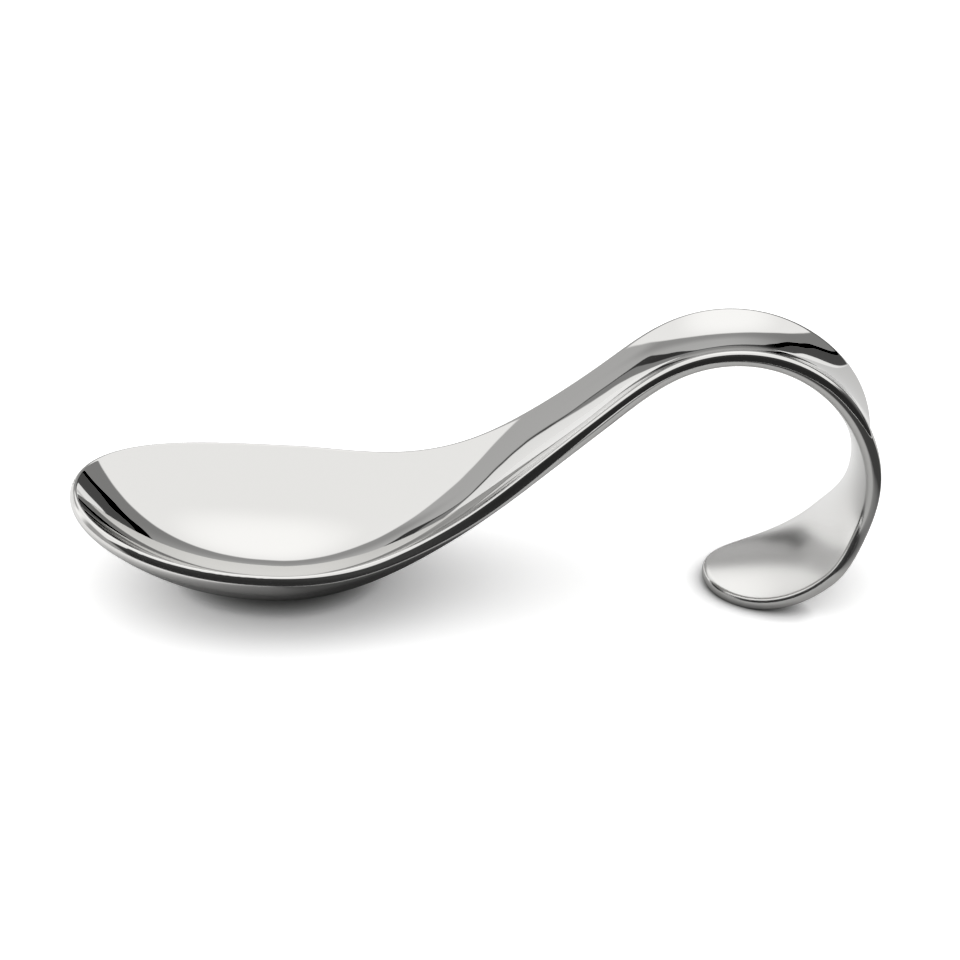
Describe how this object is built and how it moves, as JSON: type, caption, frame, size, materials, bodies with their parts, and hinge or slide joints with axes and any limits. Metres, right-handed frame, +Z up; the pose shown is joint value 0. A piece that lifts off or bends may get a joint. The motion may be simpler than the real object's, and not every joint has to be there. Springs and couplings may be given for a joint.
{
  "type": "amuse bouche spoon",
  "caption": "Polished steel tasting spoon: a dished oval bowl flows up a channelled neck into a handle curled over in an open finger loop, so it stands on the table.",
  "frame": {"origin": "on the table, under the middle of the spoon's length and width", "axes": "+X from the bowl's tip to the curled handle, +Y across the spoon, +Z up from the table"},
  "size_m": [0.12, 0.0422, 0.0418],
  "materials": {
    "polished_steel": "mirror-polished stainless steel"
  },
  "bodies": {
    "root": {"bowl": "polished_steel", "neck": "polished_steel", "arch": "polished_steel", "curl": "polished_steel"}
  },
  "joints": []
}
